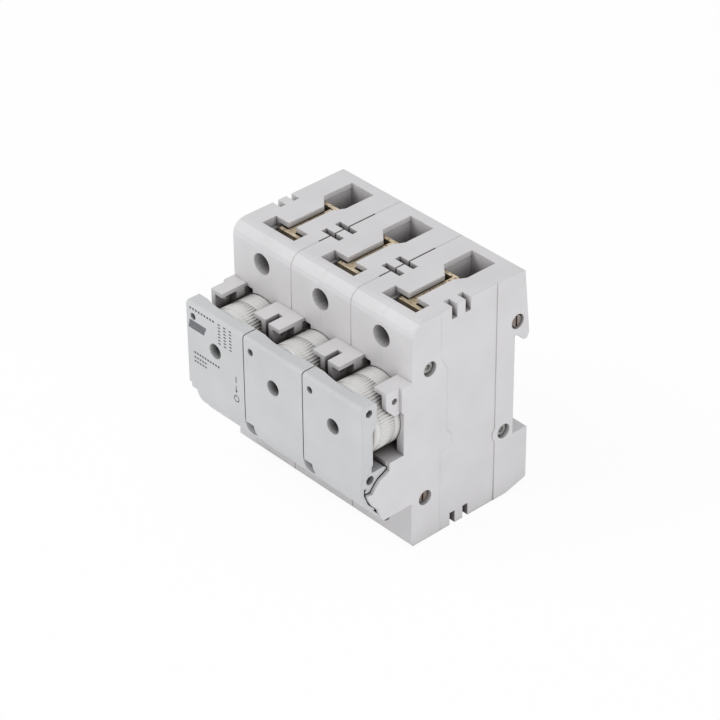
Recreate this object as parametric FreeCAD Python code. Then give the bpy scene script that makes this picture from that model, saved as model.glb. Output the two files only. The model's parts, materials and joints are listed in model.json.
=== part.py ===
"""Three-pole fuse switch disconnector for cartridge fuse links, for a 35 mm rail.

Every pole is the same module, so its pieces are drawn once, in the pole's own frame, and placed
once for each pole. In a pole's frame x runs from its left side (0) to its right side (pitch), a
place along the depth is its distance in front of the rear plane, and z is the height above the
underside. In the row frame -Y is the front, +Z is up, and the origin is the middle of the base.
"""
import os
import math
import FreeCAD
import Part

Vector = FreeCAD.Vector

# Overall sizes
poles = 3
pitch = 27.0
height = 81.0
depth = 69.0
shoulder_depth = 49.3
wall = 1.8

# Flats on small and hidden rounds lie this close to the true round; the smallest corners have one flat
seen_error = 0.07
hidden_error = 0.24
corner_error = 0.09
least_round = 0.9

# Front zone, between the two shoulders
zone_bottom = 16.6
zone_top = 61.4
floor_top = 36.7
floor_thickness = 1.5
floor_depth = 58.9
flank = 1.1
rib_depth = 52.8
rib_width = 3.0
lug_depth_left = 59.6
lug_depth_right = 58.9
lug_height = 9.7
lug_left_width = 6.1
lug_right_width = 6.4
lug_inset = 1.1
lug_leg = 1.9
lug_shelf = 1.4
lug_leg_drop = 6.2
lug_corner = 3.5
lug_step_depth = 53.6
lug_hole_radius = 1.0
lug_hole = (55.5, 57.1)
end_lobe_radius = 10.0
support_radius = 5.2
foot_front = 61.2
foot_nose_depth = 63.4
foot_nose_height = 5.0

# Rail slot in the rear
rail_slot_depth = 6.3
rail_slot_bottom = 21.9
rail_slot_top = 58.3
hook_lip_drop = 3.0
rear_lean = 2.6

# Edges and surface relief
top_edge_radius = 4.5
seam_chamfer = 0.25
band_relief = 0.3
band_rear_depth = 14.3
band_front_depth = 37.6
band_waist_depth = 35.1

# Slots for joining clips, across the seams
clip_slot_depths = (31.95, 26.4)
clip_slot_width = 2.2
clip_slot_reach = 4.0
clip_slot_height = 4.6

# Handle
hinge_depth = 56.4
hinge_height = 30.7
lobe_radius = 11.2
running_gap = 0.2
skirt_end_angle = 52.0
handle_swing = 70.0
handle_top = 60.8
handle_left_gap = 0.2
handle_right_gap = 0.75
handle_seam_gap = 0.4
handle_rounding = 1.0
panel_thickness = 4.4
cheek_thickness = 6.1
cheek_bottom = 51.4
scallop_depth = 1.9
scallop_margin = 1.5
scallop_flats = 6
foot_room = 3.8
beam_depth = 59.2
beam_top = 35.4
ear_gap = 0.25
side_inset = 1.3
web_thickness = 1.2
web_radius = 7.0
web_start_angle = -10.0
window_radius = 2.6
window_height = 48.2
seal_hole_radius = 1.2
seal_hole_place = 3.3
seal_hole_height = 56.2
notch_width = 3.7
notch_top = 29.0
notch_rounding = 2.2
pin_radius = 1.5
pin_clearance = 0.05
pin_skin = 0.35
hub_radius = 3.4
arm_width = 3.0
arm_places = (3.0, 21.0)
tie_rod_radius = 1.15
tie_rod_depth = 66.0
tie_rod_height = 57.9
tie_rod_recess = 6.0
ear_hole_depth = 65.3
ear_hole_height = 33.0
ear_hole_radius = 1.5
ear_hole_length = 4.0

# Drive from the handle to the contact slide
drive_radius = 7.0
drive_pin_radius = 1.3
drive_start_angle = 55.0
drive_arm_width = 2.3
slide_thickness = 2.4
slide_gap = 0.25
slide_rear_depth = 36.5
slide_bottom = 21.3
slide_top = 28.4
slide_rim = 1.2
slide_bevel = 2.6
bridge_thickness = 1.55
contact_bends = 4
contact_leaf = 0.25

# Fuse holder
fuse_height = 47.5
head_radius = 11.6
head_front = 62.9
head_ring_front = 54.6
head_rear = 49.2
head_ring_radius = 11.85
head_rear_radius = 9.6
head_bevel = 2.1
head_bevel_depth = 1.5
head_cap = 2.6
head_ribs = 36
recess_radius = 12.1
recess_depth = 48.6
stem_radius = 8.95
stem_rear = 40.2
thread_clearance = 0.08
sleeve_wall = 0.8
sleeve_rear = 40.0
sleeve_front = 48.4
link_radius = 7.65
link_length = 36.0
link_cap_length = 6.0
link_step = 1.6
link_edge = 0.8
link_gap = 0.4
link_rear = 24.0
glass_radius = 5.0
glass_thickness = 1.2
glass_inset = 0.3

# Metal strips
strip = 1.2
strap_height = 60.2
strap_left = 10.2
strap_right = 16.8
strap_front = 47.2
bar_depth = 20.7
bar_reach = 3.2
contact_depth = 42.6
contact_width = 3.4
left_contact = 7.0
right_contact = 16.4
lower_strap_height = 14.0
lower_drop_depth = 38.0

# Terminals: the height of the screw and which way its opening faces
upper_screw_drop = 9.5
lower_screw_height = 7.0
terminals = {"top": (height - upper_screw_drop, 1), "bottom": (lower_screw_height, -1)}
access_radius = 3.6
screw_head_radius = 3.3
screw_head_depth = 40.7
screw_head_length = 2.8
screw_radius = 2.4
screw_tip_depth = 21.5
cage_front_depth = 38.0
cage_rear_depth = 18.4
cage_wall = 1.4
cage_left = 10.4
cage_right = 21.0
cage_reach = 5.0
cage_roof_gap = 0.7
cage_travel = 8.0
chamber_left = 8.1
chamber_right = 21.6
chamber_front = 43.8
chamber_rear = 7.1
window_left = 7.0
window_right = 21.7
window_front = 43.1
window_rear = 37.4
slit_left = 12.9
slit_right = 16.3
entry_left = 8.4
entry_right = 18.5
entry_front = 18.9
entry_rear = 7.1
entry_throat = 22.8

# Rail latch
latch_half_width = 4.3
latch_flange = 1.2
latch_travel = 2.5
latch_rear = 0.5
latch_front = 4.7
latch_bottom = 3.0
latch_nose = 24.0
latch_gap = 0.2
latch_skin = 1.8
flange_bottom = 5.0
flange_top = 18.4
pocket_half_width = 2.0
pocket_bottom = 8.0
pocket_top = 18.0
post_height = 1.5
latch_bends = 6
latch_leaf = 0.35

# Through fasteners: (depth, height)
socket_screws = ((42.1, 63.0), (10.5, 24.9))
slotted_screw = (43.8, 16.3)
rear_screw = (5.5, 63.3)
tie_radius = 1.6
tie_head_radius = 2.0
nut_radius = 2.6
nut_gap = 0.1
tie_recess_radius = 2.55
tie_recess = 3.2
rear_screw_recess = 0.6
tie_gap = 0.05

middle = pitch / 2
handle_front = depth
skirt_outer = handle_front - hinge_depth
skirt_inner = lobe_radius + running_gap
channel_radius = skirt_outer + running_gap


def y_at(distance):
    """Row-frame y of a place that lies this far in front of the rear plane."""
    return depth / 2 - distance


def box(x0, x1, d0, d1, z0, z1):
    """Block between two sides, two distances from the rear, and two heights."""
    return Part.makeBox(x1 - x0, d1 - d0, z1 - z0, Vector(x0, y_at(d1), z0))


def rod_x(d, z, radius, x0, x1):
    """Cylinder along X."""
    return Part.makeCylinder(radius, x1 - x0, Vector(x0, y_at(d), z), Vector(1, 0, 0))


def flats(radius, error):
    """Even number of flats that stay within the error of a round."""
    return 2 * math.ceil(math.pi / (2 * math.acos(1 - error / radius)))


def ring(radius, count, place):
    """Closed polygon with its corners on a round, as a list of points."""
    step = 2 * math.pi / count
    points = [place(radius * math.cos((i + 0.5) * step), radius * math.sin((i + 0.5) * step))
              for i in range(count)]
    return points + points[:1]


def prism_x(d, z, radius, count, x0, x1):
    """Flat-sided rod along X with its corners on a round."""
    points = ring(radius, count, lambda a, b: Vector(x0, y_at(d) + a, z + b))
    return Part.Face(Part.makePolygon(points)).extrude(Vector(x1 - x0, 0, 0))


def prism_y(x, z, radius, count, d0, d1):
    """Flat-sided rod along the depth with its corners on a round."""
    points = ring(radius, count, lambda a, b: Vector(x + a, y_at(d0), z + b))
    return Part.Face(Part.makePolygon(points)).extrude(Vector(0, d0 - d1, 0))


def shaft_x(d, z, radius, x0, x1, error=hidden_error):
    """Rod along X, just inside a round."""
    return prism_x(d, z, radius, flats(radius, error), x0, x1)


def shaft_y(x, z, radius, d0, d1, error=hidden_error):
    """Rod along the depth, just inside a round."""
    return prism_y(x, z, radius, flats(radius, error), d0, d1)


def bore_x(d, z, radius, x0, x1, error=hidden_error):
    """Space along X, just outside a round."""
    count = flats(radius, error)
    return prism_x(d, z, radius / math.cos(math.pi / count), count, x0, x1)


def bore_y(x, z, radius, d0, d1, error=hidden_error):
    """Space along the depth, just outside a round."""
    count = flats(radius, error)
    return prism_y(x, z, radius / math.cos(math.pi / count), count, d0, d1)


def rounded(here, before, after, radius):
    """Points that round a corner between the directions of its two neighbours."""
    before = before.normalize()
    after = after.normalize()
    half = before.getAngle(after) / 2
    centre = here + (before + after).normalize() * (radius / math.sin(half))
    start = here + before * (radius / math.tan(half)) - centre
    end = here + after * (radius / math.tan(half)) - centre
    sweep = math.pi - 2 * half
    count = math.ceil(sweep / (2 * math.acos(1 - corner_error / radius))) if radius > least_round else 1
    return [centre + (start * math.sin((1 - i / count) * sweep) + end * math.sin(i / count * sweep))
            * (1 / math.sin(sweep)) for i in range(count + 1)]


def outline(corners, place):
    """Closed wire through corners (a, b, radius), rounded where the radius isn't zero."""
    points = []
    count = len(corners)
    for i in range(count):
        here = Vector(corners[i][0], corners[i][1], 0)
        before = Vector(*corners[i - 1][:2], 0) - here
        after = Vector(*corners[(i + 1) % count][:2], 0) - here
        radius = corners[i][2]
        points += [here] if radius == 0 else rounded(here, before, after, radius)
    points = [place(p) for p in points]
    return Part.makePolygon(points + points[:1])


def side_profile(corners, x0, x1):
    """Solid between two sides, from an outline of (distance, height, radius) corners."""
    wire = outline(corners, lambda p: Vector(x0, y_at(p.x), p.y))
    return Part.Face(wire).extrude(Vector(x1 - x0, 0, 0))


def plan_profile(corners, z0, z1):
    """Solid between two heights, from an outline of (x, distance, radius) corners."""
    wire = outline(corners, lambda p: Vector(p.x, y_at(p.y), z0))
    return Part.Face(wire).extrude(Vector(0, 0, z1 - z0))


def front_profile(corners, d0, d1):
    """Solid between two distances, from an outline of (x, height, radius) corners."""
    wire = outline(corners, lambda p: Vector(p.x, y_at(d0), p.y))
    return Part.Face(wire).extrude(Vector(0, d0 - d1, 0))


def plain(points):
    """Corners with no rounding."""
    return [(a, b, 0) for a, b in points]


def bent_strip(points, x0, x1, thickness=strip):
    """Metal strip of one thickness that follows right-angled runs of its middle line."""
    solids = []
    half = thickness / 2
    for (d0, z0), (d1, z1) in zip(points, points[1:]):
        solids.append(box(x0, x1, min(d0, d1) - half, max(d0, d1) + half,
                          min(z0, z1) - half, max(z0, z1) + half))
    return fuse(solids)


def fuse(solids):
    """One solid from several that meet."""
    joined = solids[0]
    if len(solids) > 1:
        joined = joined.fuse(solids[1:])
    return joined.removeSplitter()


def about_hinge(angle, radius):
    """Depth and height of a point at this angle below the front horizontal of the hinge."""
    turn = math.radians(angle)
    return hinge_depth + radius * math.cos(turn), hinge_height - radius * math.sin(turn)


def body_outline():
    """Side view of the housing without its front zone."""
    return [
        (shoulder_depth, 0, 0.8),
        (9.0, 0, 0),
        (0, 2.3, 0.8),
        (0, rail_slot_bottom, 0.4),
        (rail_slot_depth, rail_slot_bottom, 0),
        (rail_slot_depth, rail_slot_top, 0),
        (rail_slot_depth - 0.8, rail_slot_top, 0),
        (rail_slot_depth - 3.9, rail_slot_top - hook_lip_drop, 0.5),
        (0.9, rail_slot_top - hook_lip_drop, 0.7),
        (0.2, rail_slot_top - 0.8, 0),
        (rear_lean, height, 0.8),
        (shoulder_depth, height, top_edge_radius),
    ]


def beam_underside(drop):
    """Lower edge of the handle's beam, from rear to front, lowered by a gap."""
    points = [(beam_depth - 0.5, beam_top - 1.1), (60.2, 33.4), (62.3, 32.5), (63.9, 31.0),
              (65.2, 29.3), (65.6, 28.8), (67.4, 29.0)]
    return [(d - drop / 2, z - drop) for d, z in points]


def lobe(radius, whole):
    """Side wall round the handle's hinge, with its foot.

    Between two poles the foot is hollowed for the swinging plate; at the row's ends it is whole.
    """
    web = side_profile([
        (shoulder_depth - 1, zone_bottom, 0),
        (foot_front, zone_bottom, 0.6),
        (foot_nose_depth, zone_bottom + foot_nose_height, 0),
        (hinge_depth, hinge_height, 0),
        (shoulder_depth - 1, floor_top, 0),
    ], 0, flank)
    shelf = box(0, flank, shoulder_depth - 1, beam_depth, hinge_height, floor_top)
    above = box(-1, flank + 1, 0, depth, floor_top, height)
    edge = beam_underside(ear_gap)
    ends = [(depth + 1, edge[-1][1]), (depth + 1, height)]
    ear_room = side_profile(plain([(edge[0][0], height)] + edge + ends), -1, flank + 1)
    if whole:
        return web.fuse([rod_x(hinge_depth, hinge_height, radius, 0, flank), shelf]).cut([ear_room, above])
    hollow = bore_x(hinge_depth, hinge_height, channel_radius, -1, flank + 1)
    support = shaft_x(hinge_depth, hinge_height, radius, 0, flank)
    return web.cut(hollow).fuse([support, shelf]).cut([ear_room, above])


def foot():
    """Floor of the front zone under the handle's skirt, with its low front lip."""
    corner = about_hinge(60, channel_radius + 0.1)
    block = side_profile([
        (shoulder_depth - 1, zone_bottom, 0),
        (foot_front, zone_bottom, 0.6),
        (corner[0], corner[1], 0.2),
        (shoulder_depth - 1, corner[1], 0),
    ], flank, pitch - flank)
    return block.cut(bore_x(hinge_depth, hinge_height, channel_radius, 0, pitch))


def lug(x0, x1, side, front):
    """Lug beside a fuse head: a root on the shoulder, then a shelf with a leg at its outer side."""
    bottom = zone_top - lug_height
    root = side_profile([
        (shoulder_depth - 1, bottom, 0),
        (lug_step_depth, bottom, 0.8),
        (lug_step_depth, zone_top, 0),
        (shoulder_depth - 1, zone_top, 0),
    ], x0, x1)
    shelf0, shelf1 = (x0 + lug_inset, x1) if side == "left" else (x0, x1 - lug_inset)
    leg0 = shelf0 if side == "left" else shelf1 - lug_leg
    shelf = box(shelf0, shelf1, lug_step_depth - 0.1, front, zone_top - lug_shelf, zone_top)
    leg = side_profile([
        (lug_step_depth - 0.1, bottom, 0),
        (front - lug_corner, bottom, 0),
        (front, zone_top - lug_leg_drop, lug_corner),
        (front, zone_top, 0.4),
        (lug_step_depth - 0.1, zone_top, 0),
    ], leg0, leg0 + lug_leg)
    hole = bore_x(*lug_hole, lug_hole_radius, leg0 - 1, leg0 + lug_leg + 1)
    return root.fuse([shelf, leg]).cut(hole)


def front_zone(pole):
    """All that stands in front of the shoulders, for one pole."""
    last = pole == poles - 1
    left = lobe(end_lobe_radius if pole == 0 else support_radius, False)
    right = lobe(lobe_radius if last else support_radius, last).translated(Vector(pitch - flank, 0, 0))
    floor = box(flank, pitch - flank, shoulder_depth - 1, floor_depth,
                floor_top - floor_thickness, floor_top)
    ribs = [box(x, x + rib_width, shoulder_depth - 1, rib_depth, floor_top - 1, zone_top - lug_height + 1)
            for x in (0, pitch - rib_width)]
    lugs = [lug(0, lug_left_width, "left", lug_depth_left),
            lug(pitch - lug_right_width, pitch, "right", lug_depth_right)]
    return left.fuse([right, floor, foot()] + ribs + lugs)


def clip_slots(z0, z1):
    """Slots for the joining clips, open at the pole's sides and at one face."""
    sides = ((-1, clip_slot_reach), (pitch - clip_slot_reach, pitch + 1))
    return [box(x0, x1, d - clip_slot_width / 2, d + clip_slot_width / 2, z0, z1)
            for d in clip_slot_depths for x0, x1 in sides]


def side_band():
    """Shallow relief of the middle band, on both sides of a pole."""
    corners = plain([
        (band_rear_depth, -1), (band_front_depth, -1), (band_front_depth, 30.6), (32.9, 31.0),
        (32.9, 34.8), (band_waist_depth, 37.4), (band_waist_depth, 60.0), (band_front_depth, 65.0),
        (band_front_depth, height + 1), (band_rear_depth, height + 1), (band_rear_depth, 27.5),
        (15.3, 26.2), (15.3, 24.6), (band_rear_depth, 22.6),
    ])
    return [side_profile(corners, -1, band_relief), side_profile(corners, pitch - band_relief, pitch + 1)]


def tie_holes(pole):
    """Holes of the through fasteners, with pockets for nuts at the left end and for heads at the right."""
    cuts = []
    for d, z in socket_screws + (slotted_screw, rear_screw):
        cuts.append(bore_x(d, z, tie_radius + tie_gap, -1, pitch + 1))
        if pole == 0:
            cuts.append(prism_x(d, z, nut_radius + nut_gap, 6, -1, tie_recess))
        if pole == poles - 1:
            cuts.append(bore_x(d, z, tie_recess_radius, pitch - tie_recess, pitch + 1, seen_error))
    return cuts


def hinge_bore(pole):
    """Bore of the hinge pin, closed by a skin at the row's ends."""
    return bore_x(hinge_depth, hinge_height, pin_radius + pin_clearance,
                  pin_skin if pole == 0 else -1, pitch - pin_skin if pole == poles - 1 else pitch + 1)


def fuse_bores():
    """Recess for the fuse head, bores for the sleeve and the fuse link, and the contact pocket."""
    sleeve_outer = stem_radius + thread_clearance + sleeve_wall
    recess = bore_y(middle, fuse_height, recess_radius, recess_depth, depth, seen_error)
    keyhole = box(5.2, 8.8, shoulder_depth - 5, shoulder_depth + 1, 57.0, 60.2)
    sleeve = bore_y(middle, fuse_height, sleeve_outer + 0.1, sleeve_rear - 0.2, recess_depth + 0.1)
    bore = bore_y(middle, fuse_height, link_radius + 0.7, bar_depth + strip / 2, sleeve_rear)
    pocket = box(6.6, 20.4, bar_depth - strip, bar_depth + strip, 32.8, fuse_height + 6.5)
    strap_rise = box(strap_left - 0.4, strap_right + 0.4, strap_front - strip - 0.2, strap_front + 0.2,
                     fuse_height + 8, strap_height + strip)
    strap_run = box(strap_left - 0.4, strap_right + 0.4, bar_depth - strip, strap_front + 0.2,
                    strap_height - strip, strap_height + strip)
    return [recess, keyhole, sleeve, bore, pocket, strap_rise, strap_run]


def bar_slots():
    """Slots in which the bars of both terminals and the lower strap lie."""
    gap = 0.3
    slots = []
    for axis, up in terminals.values():
        face = height if up > 0 else 0
        inner = strap_height if up > 0 else lower_strap_height
        z0, z1 = sorted((inner - up * (strip / 2 + gap), face - up * (chamber_height(axis, up) - 1)))
        slots.append(box(entry_left + 0.3, entry_right - 0.1, bar_depth - strip / 2 - gap,
                         bar_depth + strip / 2 + gap, z0, z1))
    slots.append(box(right_contact - gap, right_contact + contact_width + gap, bar_depth - strip / 2 - gap,
                     lower_drop_depth + strip / 2 + gap, lower_strap_height - strip / 2 - gap,
                     lower_strap_height + strip / 2 + gap))
    slots.append(box(right_contact - gap, right_contact + contact_width + gap,
                     lower_drop_depth - strip / 2 - gap, lower_drop_depth + strip / 2 + gap,
                     lower_strap_height, slide_bottom - 0.3))
    return slots


def chamber_height(axis, up):
    """How deep a terminal's chamber reaches from its face."""
    face = height if up > 0 else 0
    return abs(face - axis) + cage_reach + 0.9


def switch_chamber():
    """Room for the slide, the contact bridge, the fixed contacts and the handle's arms."""
    arms = bore_x(hinge_depth, hinge_height, channel_radius, flank, pitch - flank)
    arms = arms.common(box(0, pitch, 43.4, depth, zone_bottom + floor_thickness - 0.4,
                           floor_top - floor_thickness))
    guide = box(middle - slide_thickness / 2 - running_gap, middle + slide_thickness / 2 + running_gap,
                slide_rear_depth - 8.8, 50, slide_bottom - 0.3, slide_top + 0.3)
    bridge = box(6.0, 21.0, 31.6, contact_depth + 1, 18.8, 32.9)
    strap = box(6.5, 10.9, bar_depth - strip, contact_depth + 1, 32.7, 34.5)
    return [arms, guide, bridge, strap]


def terminal_cuts(axis, up):
    """Chamber, openings and screwdriver hole of one terminal."""
    face = height if up > 0 else 0

    def band(near, far):
        return sorted((face - up * near, face - up * far))

    far = chamber_height(axis, up)
    roof = wall
    cuts = [
        box(chamber_left, chamber_right, chamber_rear, chamber_front, *band(roof, far)),
        box(window_left, window_right, window_rear, window_front, *band(-1, roof + 1.5)),
        box(slit_left, slit_right, entry_front, window_rear + 1, *band(-1, roof + 0.1)),
        bore_y(middle, axis, access_radius, chamber_front - 1, depth, seen_error),
    ]
    z0, z1 = band(-1, roof + 0.1)
    cuts.append(plan_profile(plain([
        (entry_left, entry_rear), (entry_right, entry_rear), (entry_right, entry_front),
        (slit_right, entry_throat), (slit_left, entry_throat), (entry_left, entry_front)]), z0, z1))
    return cuts


def latch_channel():
    """T-shaped channel for the rail latch, open to the rear and below."""
    narrow = latch_half_width + latch_gap
    wide = narrow + latch_flange
    front = latch_front + latch_gap
    return [box(middle - narrow, middle + narrow, -1, front, -1, rail_slot_bottom + 1),
            box(middle - wide, middle + wide, latch_rear + latch_skin - latch_gap, front,
                flange_bottom - latch_travel - latch_gap, flange_top + 0.1)]


def spring_post():
    """Post in the latch's pocket that the spring stands on."""
    low = pocket_bottom + latch_gap
    return box(middle - pocket_half_width + latch_gap, middle + pocket_half_width - latch_gap,
               latch_rear + latch_skin + latch_gap, latch_front + latch_gap + 0.5, low, low + post_height)


def pole_housing(pole):
    """Both halves of one pole's housing, in its own frame."""
    body = side_profile(body_outline(), 0, pitch)
    rim = [e for e in body.Edges
           if abs(e.BoundBox.XMin - e.BoundBox.XMax) < 1e-6]
    body = body.makeChamfer(seam_chamfer, rim)
    whole = body.fuse(front_zone(pole))
    cuts = fuse_bores() + switch_chamber() + bar_slots() + latch_channel() + side_band()
    cuts += tie_holes(pole) + [hinge_bore(pole)]
    cuts += clip_slots(height - clip_slot_height, height + 1) + clip_slots(-1, clip_slot_height)
    for axis, up in terminals.values():
        cuts += terminal_cuts(axis, up)
    whole = whole.cut(cuts).fuse(spring_post())
    halves = []
    for x0, x1 in ((0, middle), (middle, pitch)):
        part = whole.common(box(x0, x1, -5, depth + 5, -5, height + 5))
        halves.append(max(part.Solids, key=lambda s: s.Volume))
    return halves


def handle_plate(index):
    """One plate of the handle, with its skirt, beam, arms and drive pin."""
    first = index == 0
    last = index == poles - 1
    x0 = handle_left_gap if first else handle_seam_gap / 2
    x1 = pitch - (handle_right_gap if last else handle_seam_gap / 2)
    rear = handle_front - panel_thickness
    panel = side_profile([
        (handle_front, hinge_height, 0), (handle_front, handle_top, handle_rounding),
        (rear, handle_top, 0), (rear, hinge_height, 0)], x0, x1)
    cheek_rear = handle_front - cheek_thickness
    cheek = side_profile([
        (rear + 0.5, cheek_bottom - 1, 0), (rear, cheek_bottom - 1, 0), (cheek_rear, cheek_bottom + 2, 0),
        (cheek_rear, handle_top, 0.8), (rear + 0.5, handle_top, 0)], x0, x1)
    cheek = cheek.cut(scallop(cheek_rear))
    beam = side_profile(
        [(rear + 0.5, beam_top, 0), (beam_depth, beam_top, 0.8)] + plain(beam_underside(0)),
        side_inset, pitch - side_inset)
    skirt0 = side_inset if first else x0
    skirt1 = pitch - side_inset if last else x1
    ends = [] if last else [end_web(x1)]
    arms = [handle_arm(x, x + arm_width) for x in arm_places]
    half = slide_thickness / 2 + slide_gap
    arms += [drive_arm(middle - half - drive_arm_width, middle - half),
             drive_arm(middle + half, middle + half + drive_arm_width)]
    pin_place = about_hinge(drive_start_angle, drive_radius)
    pin = shaft_x(*pin_place, drive_pin_radius, middle - half - 0.5, middle + half + 0.5)
    if first:
        panel = panel.cut(bore_x(hinge_depth, hinge_height, skirt_inner, -1, side_inset))
    if last:
        panel = panel.cut([bore_x(hinge_depth, hinge_height, skirt_inner, pitch - side_inset, pitch + 1),
                           box(pitch - side_inset, pitch + 1, 0, depth + 1, 0, hinge_height + foot_room)])
    plate = panel.fuse([cheek, beam, handle_skirt(skirt0, skirt1), pin] + arms + ends)
    plate = plate.cut(handle_holes(first, last))
    return plate.removeSplitter()


def scallop(near):
    """Shallow hollow across the rear of a plate's thick upper part."""
    chord = pitch / 2 - scallop_margin
    radius = (chord ** 2 + scallop_depth ** 2) / (2 * scallop_depth)
    reach = math.asin(chord / radius)
    turns = [reach * (2 * i / scallop_flats - 1) for i in range(scallop_flats + 1)]
    curve = [(middle + radius * math.sin(a), near + scallop_depth - radius * (1 - math.cos(a)))
             for a in turns]
    return plan_profile(plain([(curve[0][0], near - 1)] + curve + [(curve[-1][0], near - 1)]), 0, height)


def handle_skirt(x0, x1):
    """Curved lower end of a plate, concentric with the hinge, with the notch in its left corner."""
    band = rod_x(hinge_depth, hinge_height, skirt_outer, x0, x1)
    band = band.cut(bore_x(hinge_depth, hinge_height, skirt_inner, -1, pitch + 1))
    far = about_hinge(skirt_end_angle, 2 * skirt_outer)
    sector = side_profile(plain([
        (hinge_depth, hinge_height), (hinge_depth + 2 * skirt_outer, hinge_height), far]), -1, pitch + 1)
    low = about_hinge(skirt_end_angle, skirt_outer)[1] - 1
    notch = box(-1, notch_width, 0, depth + 5, low - 5, notch_top)
    kept = front_profile([
        (notch_width, low + 1, notch_rounding), (pitch + 1, low + 1, 0), (pitch + 1, notch_top, 0),
        (notch_width, notch_top, 0)], 0, depth + 5)
    corner = box(-1, notch_width + notch_rounding, 0, depth + 5, low - 5, notch_top - 1).cut(kept)
    return band.common(sector).cut([notch, corner])


def end_web(x1):
    """Wall that closes the right end of a plate towards the next one."""
    middle_radius = (skirt_inner + skirt_outer) / 2
    turns = 4
    step = (skirt_end_angle - web_start_angle) / turns
    angles = [web_start_angle + i * step for i in range(turns + 1)]
    outer = [about_hinge(a, middle_radius) for a in angles]
    inner = [about_hinge(a, web_radius) for a in reversed(angles)]
    return side_profile(plain(outer + inner), x1 - web_thickness, x1)


def handle_arm(x0, x1):
    """Arm from the beam to the hub on the hinge pin."""
    web = side_profile(plain([
        (65.0, 34.2), (beam_depth + 0.2, 35.2), (57.0, 34.0), (hinge_depth - 2, 28.0), (60.5, 28.0),
        (65.2, 30.2)]), x0, x1)
    return web.fuse(shaft_x(hinge_depth, hinge_height, hub_radius, x0, x1))


def drive_arm(x0, x1):
    """Arm that reaches past the hinge pin to the drive pin."""
    pin_place = about_hinge(drive_start_angle, drive_radius)
    web = side_profile(plain([
        (65.2, 33.4), (60.2, 34.2), (pin_place[0] - 2.0, pin_place[1] + 0.5),
        (pin_place[0], pin_place[1] - 1.8), (pin_place[0] + 2.2, pin_place[1]), (65.2, 30.2)]), x0, x1)
    return web.fuse(shaft_x(*pin_place, drive_pin_radius + 0.9, x0, x1))


def handle_holes(first, last):
    """Hinge bore, tie-rod bore, sight hole and seal hole of a plate, and the ear holes at the row's ends."""
    cheek_rear = handle_front - cheek_thickness
    cuts = [
        bore_x(hinge_depth, hinge_height, pin_radius + pin_clearance, -1, pitch + 1),
        bore_x(tie_rod_depth, tie_rod_height, tie_rod_radius + pin_clearance, -1, pitch + 1),
        bore_y(middle, window_height, window_radius, cheek_rear - 1, depth + 1, seen_error),
        bore_y(seal_hole_place, seal_hole_height, seal_hole_radius, cheek_rear - 1, depth + 1, seen_error),
    ]
    ear = side_inset + ear_hole_length
    if first:
        cuts.append(bore_x(ear_hole_depth, ear_hole_height, ear_hole_radius, -1, ear, seen_error))
    if last:
        cuts.append(bore_x(ear_hole_depth, ear_hole_height, ear_hole_radius, pitch - ear, pitch + 1,
                           seen_error))
    return cuts


def fuse_head():
    """Screw cap: a ring, a drum whose ribs are its corners, and a hollow stem for the sleeve's thread."""
    body = faceted([
        (head_radius - head_bevel, head_front), (head_radius, head_front - head_bevel_depth),
        (head_radius, head_ring_front), (head_ring_radius, head_ring_front),
        (head_ring_radius, head_rear), (head_rear_radius, head_rear)], head_ribs)
    stem = shaft_y(middle, fuse_height, stem_radius, stem_rear, head_rear + 0.5)
    bore = bore_y(middle, fuse_height, link_radius + link_gap, 0, head_front - head_cap)
    socket = bore_y(middle, fuse_height, glass_radius, head_front - glass_thickness, depth)
    return body.fuse(stem).cut([socket, bore]).removeSplitter()


def faceted(profile, count):
    """Flat-sided turning about the fuse's axis, closed at both ends, from (radius, distance) points."""
    loops = [ring(r, count, lambda a, b, d=d: Vector(middle + a, y_at(d), fuse_height + b))
             for r, d in profile]
    faces = [Part.Face(Part.makePolygon(loop)) for loop in (loops[0], loops[-1])]
    for near, far in zip(loops, loops[1:]):
        for i in range(count):
            faces.append(Part.Face(Part.makePolygon([near[i], near[i + 1], far[i + 1], far[i], near[i]])))
    solid = Part.Solid(Part.Shell(faces))
    if solid.Volume < 0:
        solid.reverse()
    return solid.removeSplitter()


def sight_glass():
    """Disc in the front of the fuse head."""
    return shaft_y(middle, fuse_height, glass_radius, head_front - glass_thickness, head_front - glass_inset,
                   seen_error)


def fuse_link():
    """Bottle-shaped cartridge: a wide end held in the head, a narrow foot on the base contact."""
    front = link_rear + link_length
    neck = link_rear + link_cap_length
    return faceted([
        (link_radius - link_edge, front), (link_radius, front - link_edge), (link_radius, neck),
        (link_radius - link_step, neck - link_step), (link_radius - link_step, link_rear)],
        flats(link_radius, hidden_error))


def thread_sleeve():
    """Thread sleeve round the stem, with its strap to the bar of the upper terminal."""
    inner = stem_radius + thread_clearance
    sleeve = shaft_y(middle, fuse_height, inner + sleeve_wall, sleeve_rear, sleeve_front)
    axis, _ = terminals["top"]
    half = strip / 2
    rise = box(strap_left, strap_right, strap_front - strip, strap_front, fuse_height + inner,
               strap_height + half)
    run = box(strap_left, strap_right, bar_depth - half, strap_front,
              strap_height - half, strap_height + half)
    bar = terminal_bar(axis, 1, strap_height - half)
    whole = fuse([sleeve, rise, run, bar])
    return whole.cut(bore_y(middle, fuse_height, inner, sleeve_rear - 1, sleeve_front + 1))


def terminal_bar(axis, up, root):
    """Upright contact plate of a terminal, from the root of its strap to past the screw."""
    tip = axis + up * bar_reach
    z0, z1 = sorted((root, tip))
    return box(entry_left + 0.6, entry_right - 0.4, bar_depth - strip / 2, bar_depth + strip / 2, z0, z1)


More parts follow.
